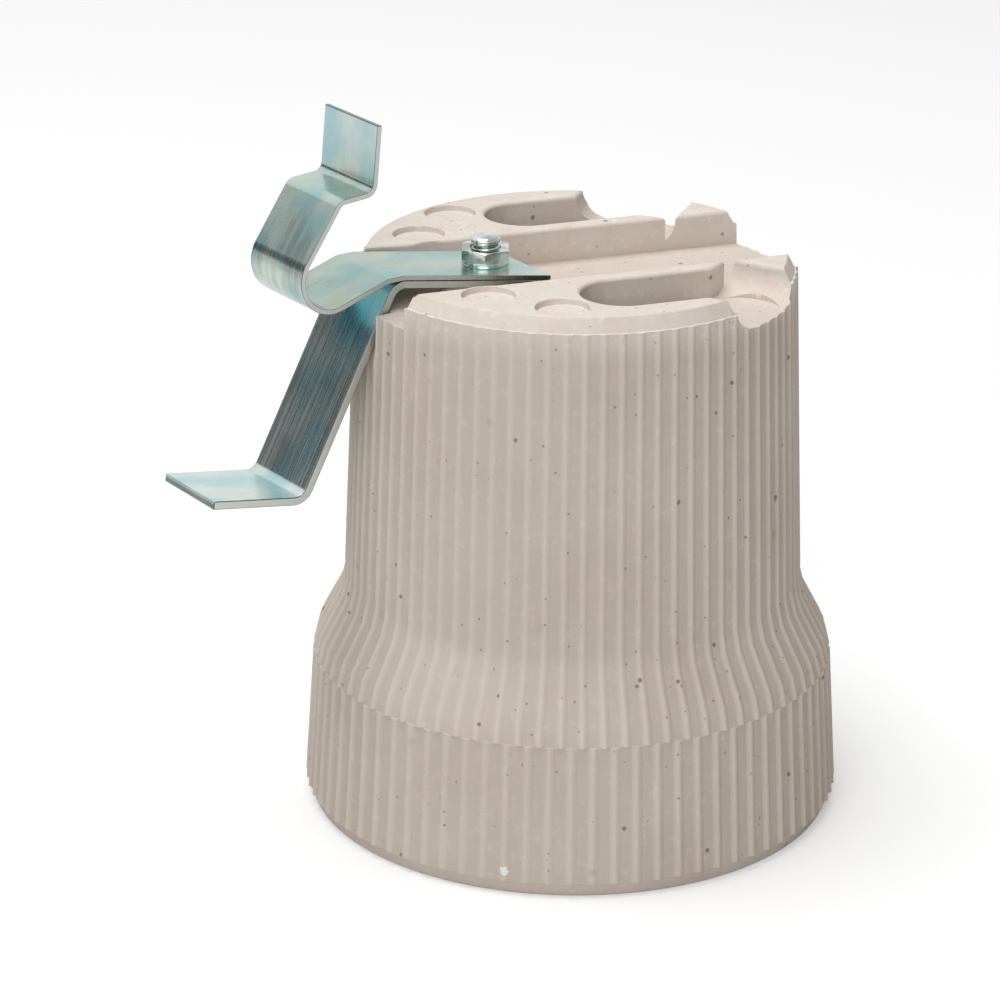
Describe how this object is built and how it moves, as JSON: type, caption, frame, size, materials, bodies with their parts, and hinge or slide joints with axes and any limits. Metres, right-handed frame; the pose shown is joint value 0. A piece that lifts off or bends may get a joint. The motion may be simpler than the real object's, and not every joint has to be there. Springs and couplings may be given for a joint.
{
  "type": "lamp holder",
  "caption": "Ribbed porcelain screw lamp holder with top wire pockets, a cross channel and a folded two-leaf spring clip bracket.",
  "frame": {"origin": "centre of the mouth rim, on the plane it stands on", "axes": "+Z along the lamp's axis from the mouth to the terminals, +X along the top channel towards the wire exits, the clip bracket lying towards -X"},
  "size_m": [0.0822, 0.065, 0.0862],
  "materials": {
    "porcelain": "raw unglazed electrical porcelain, matte, cream grey with small dark specks",
    "zinc_spring_steel": "bright zinc-plated spring strip with a faint blue tint",
    "plated_fastener": "bright plated steel, fine turned",
    "brass": "plain machined brass, slightly dull",
    "nickel_brass": "nickel-plated brass sheet, satin",
    "spring_wire": "drawn spring wire"
  },
  "bodies": {
    "holder": {"porcelain_body": "porcelain", "screw_shell": "nickel_brass", "live_contact_strip": "brass", "live_terminal_block": "brass", "neutral_terminal_block": "brass", "live_fixing_screw": "plated_fastener", "neutral_fixing_screw": "plated_fastener", "contact_guide": "brass", "contact_spring": "spring_wire", "clip_lower_leaf": "zinc_spring_steel", "clip_upper_leaf": "zinc_spring_steel", "bracket_screw": "plated_fastener", "lock_washer": "plated_fastener", "bracket_nut": "plated_fastener"},
    "centre_contact": {"contact_plunger": "brass"},
    "live_clamp": {"live_wire_clamp": "nickel_brass"},
    "live_screw": {"live_wire_screw": "nickel_brass"},
    "neutral_clamp": {"neutral_wire_clamp": "nickel_brass"},
    "neutral_screw": {"neutral_wire_screw": "nickel_brass"}
  },
  "joints": [
    {"name": "contact_press", "type": "slide", "parent": "holder", "child": "centre_contact", "axis": [0, 0, 1], "range_m": [0, 0.002], "stiffness_N_per_m": 900, "springref_m": -0.003, "deforming": ["contact_spring"]},
    {"name": "live_clamp_lift", "type": "slide", "parent": "holder", "child": "live_clamp", "axis": [0, 0, 1], "range_m": [0, 0.0025]},
    {"name": "live_screw_turn", "type": "hinge", "parent": "live_clamp", "child": "live_screw", "pos_m": [0.0015, -0.01605, 0.059], "axis": [0, 0, 1], "range_deg": [0, 1286]},
    {"name": "neutral_clamp_lift", "type": "slide", "parent": "holder", "child": "neutral_clamp", "axis": [0, 0, 1], "range_m": [0, 0.0025]},
    {"name": "neutral_screw_turn", "type": "hinge", "parent": "neutral_clamp", "child": "neutral_screw", "pos_m": [0.0015, 0.01605, 0.0582], "axis": [0, 0, 1], "range_deg": [0, 1286]}
  ],
  "couplings": [
    {"joint": "live_screw_turn", "follows": "live_clamp_lift", "rad_per_m": 8976},
    {"joint": "neutral_screw_turn", "follows": "neutral_clamp_lift", "rad_per_m": 8976}
  ]
}
